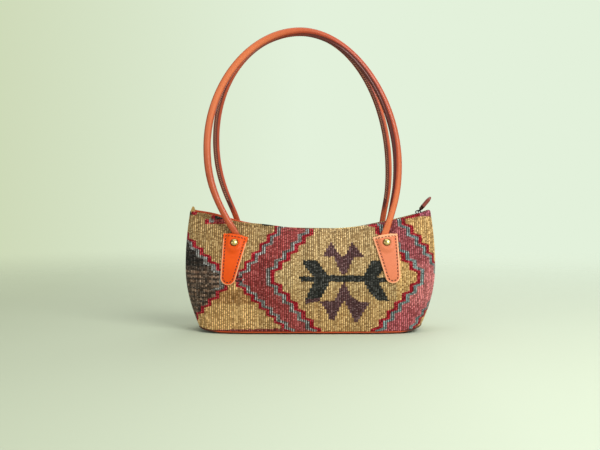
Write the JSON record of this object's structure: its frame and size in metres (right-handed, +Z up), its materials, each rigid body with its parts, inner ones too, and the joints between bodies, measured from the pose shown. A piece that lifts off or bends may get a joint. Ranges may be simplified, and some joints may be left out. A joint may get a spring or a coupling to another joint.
{
  "type": "kilim baguette bag",
  "caption": "Long low handbag in patterned flat-weave kilim with an oval leather base, a curved top zip with a leather pull, riveted leather tabs and rolled shoulder handles.",
  "frame": {"origin": "under the middle of the leather base, on the surface the bag stands on", "axes": "+Z up, +X to the right along the bag, +Y to the back; the front faces -Y"},
  "size_m": [0.3, 0.0906, 0.3601],
  "materials": {
    "kilim": "ribbed flat-weave wool in camel, crimson, madder, grey and charcoal",
    "leather": "smooth tan-orange leather with brown edges and stitching",
    "tab_leather": "bright orange leather with brown stitching",
    "lining": "plain cotton",
    "zip_tape": "dark brown woven tape",
    "brass": "polished brass, slightly tarnished",
    "board": "bare fibreboard",
    "cord": "cotton cord"
  },
  "bodies": {
    "bag": {"front_panel": "kilim", "back_panel": "kilim", "base_panel": "leather", "base_board": "board", "lining": "lining", "front_zip_strip": "leather", "back_zip_strip": "leather", "front_zip_tape": "zip_tape", "back_zip_tape": "zip_tape", "front_zip_teeth": "brass", "back_zip_teeth": "brass", "front_zip_top_stop": "brass", "back_zip_top_stop": "brass", "zip_end_stop": "brass", "front_left_tab": "tab_leather", "front_right_tab": "tab_leather", "back_left_tab": "tab_leather", "back_right_tab": "tab_leather", "front_left_handle_end": "leather", "front_right_handle_end": "leather", "back_left_handle_end": "leather", "back_right_handle_end": "leather", "front_left_rivet": "brass", "front_right_rivet": "brass", "back_left_rivet": "brass", "back_right_rivet": "brass", "front_left_rivet_back": "brass", "front_right_rivet_back": "brass", "back_left_rivet_back": "brass", "back_right_rivet_back": "brass"},
    "front_handle": {"front_handle": "leather", "front_handle_core": "cord"},
    "back_handle": {"back_handle": "leather", "back_handle_core": "cord"},
    "zip_slider": {"zip_slider": "brass"},
    "zip_pull": {"zip_pull_link": "brass", "zip_pull_tab": "leather"}
  },
  "joints": [
    {"name": "front_handle_fold", "type": "hinge", "parent": "bag", "child": "front_handle", "pos_m": [0, -0.0252, 0.116], "axis": [1, 0, 0], "range_deg": [0, 105]},
    {"name": "back_handle_fold", "type": "hinge", "parent": "bag", "child": "back_handle", "pos_m": [0, 0.0252, 0.116], "axis": [-1, 0, 0], "range_deg": [0, 105]},
    {"name": "zip_slider_travel", "type": "hinge", "parent": "bag", "child": "zip_slider", "pos_m": [0, 0, 0.60984], "axis": [0, 1, 0], "range_deg": [0, 30.5]},
    {"name": "zip_pull_swing", "type": "hinge", "parent": "zip_slider", "child": "zip_pull", "pos_m": [0.13009, 0, 0.14101], "axis": [0, -1, 0], "range_deg": [-20, 130]}
  ]
}
